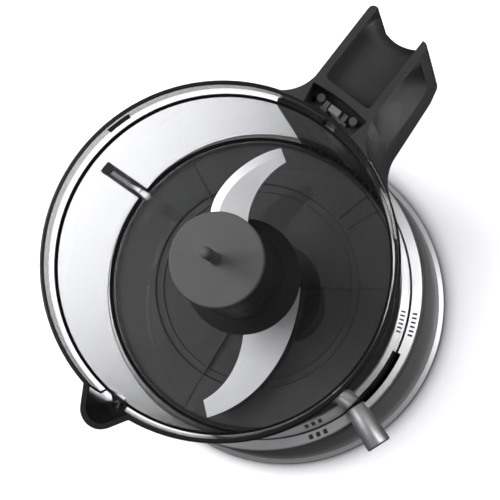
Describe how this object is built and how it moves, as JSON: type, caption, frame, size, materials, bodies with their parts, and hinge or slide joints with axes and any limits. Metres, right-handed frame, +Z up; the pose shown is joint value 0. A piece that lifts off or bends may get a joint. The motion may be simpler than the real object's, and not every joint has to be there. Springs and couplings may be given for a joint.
{
  "type": "food processor",
  "caption": "Small food processor with its lid off: silver base with speed lever, clear bowl with spout and dark handle, tall hub with two sickle blades.",
  "frame": {"origin": "on the drive axis, in the plane the processor stands on", "axes": "+Z up along the drive axis, +X towards the handle, -X towards the pour spout, -Y towards the speed lever"},
  "size_m": [0.1793, 0.1499, 0.2046],
  "materials": {
    "silver_paint": "satin metallic paint",
    "dark_plastic": "fine moulded texture",
    "clear_plastic": "clear, polished",
    "blade_steel": "fine brushed",
    "shaft_steel": "ground",
    "lever_metal": "satin",
    "laminations": "stacked sheet",
    "copper": "enamelled copper wire",
    "bronze": "sintered bronze",
    "nylon": "natural nylon",
    "foot_rubber": "matt",
    "print_ink": "printed ink",
    "board": "solder mask",
    "switch_plastic": "plain",
    "bracket_plastic": "glass-filled",
    "carbon": "carbon",
    "grey_plastic": "moulded",
    "screw_steel": "zinc plated"
  },
  "bodies": {
    "base": {"lower_housing": "silver_paint", "upper_housing": "silver_paint", "bottom_cover": "dark_plastic", "foot_ring": "foot_rubber", "cover_screws": "screw_steel", "top_deck": "dark_plastic", "cord_gland": "foot_rubber", "speed_marks": "print_ink", "micro_switch": "switch_plastic", "speed_switch": "switch_plastic", "circuit_board": "board", "lower_bracket": "bracket_plastic", "upper_bracket": "bracket_plastic", "stator": "laminations", "field_coils": "copper", "motor_bushes": "bronze", "drive_bushes": "bronze", "brush_holders": "bronze", "carbon_brushes": "carbon", "plunger_spring": "shaft_steel"},
    "rotor": {"motor_shaft": "shaft_steel", "commutator": "copper", "armature": "laminations", "armature_windings": "copper", "cooling_fan": "bracket_plastic", "pinion": "bronze"},
    "drive": {"drive_gear": "nylon", "drive_shaft": "shaft_steel", "drive_coupling": "nylon"},
    "lever": {"lever_arm": "bracket_plastic", "speed_lever": "lever_metal"},
    "plunger": {"switch_plunger": "dark_plastic"},
    "bowl": {"bowl": "clear_plastic", "spindle_bushes": "bronze", "handle": "dark_plastic", "handle_cover": "dark_plastic", "rod_guide": "grey_plastic", "recess_screws": "screw_steel", "rod_spring": "shaft_steel"},
    "interlock": {"interlock_rod": "grey_plastic"},
    "spindle": {"spindle": "shaft_steel", "spindle_coupling": "nylon", "spindle_driver": "nylon"},
    "blades": {"blade_hub": "dark_plastic", "hub_cap": "dark_plastic", "upper_blade": "blade_steel", "lower_blade": "blade_steel"}
  },
  "joints": [
    {"name": "lever_turn", "type": "hinge", "parent": "base", "child": "lever", "pos_m": [0, 0, 0.067], "axis": [0, 0, 1], "range_deg": [0, 22]},
    {"name": "drive_spin", "type": "hinge", "parent": "base", "child": "drive", "pos_m": [0, 0, 0.067], "axis": [0, 0, 1], "continuous": true},
    {"name": "motor_spin", "type": "hinge", "parent": "base", "child": "rotor", "pos_m": [-0.028, 0, 0.04], "axis": [0, 0, 1], "continuous": true},
    {"name": "bowl_lift", "type": "slide", "parent": "base", "child": "bowl", "axis": [0, 0, 1], "range_m": [0, 0.12]},
    {"name": "spindle_spin", "type": "hinge", "parent": "bowl", "child": "spindle", "pos_m": [0, 0, 0.1], "axis": [0, 0, 1], "continuous": true},
    {"name": "blade_lift", "type": "slide", "parent": "spindle", "child": "blades", "axis": [0, 0, 1], "range_m": [0, 0.07]},
    {"name": "interlock_press", "type": "slide", "parent": "bowl", "child": "interlock", "axis": [0, 0, -1], "range_m": [0, 0.003], "stiffness_N_per_m": 300, "springref_m": -0.002, "deforming": ["rod_spring"]},
    {"name": "plunger_press", "type": "slide", "parent": "base", "child": "plunger", "axis": [0, 0, -1], "range_m": [0, 0.003], "stiffness_N_per_m": 200, "springref_m": -0.002, "deforming": ["plunger_spring"]}
  ],
  "couplings": [
    {"joint": "motor_spin", "follows": "drive_spin", "ratio": -3},
    {"joint": "spindle_spin", "follows": "drive_spin", "ratio": 1},
    {"joint": "plunger_press", "follows": "interlock_press", "ratio": 1}
  ]
}
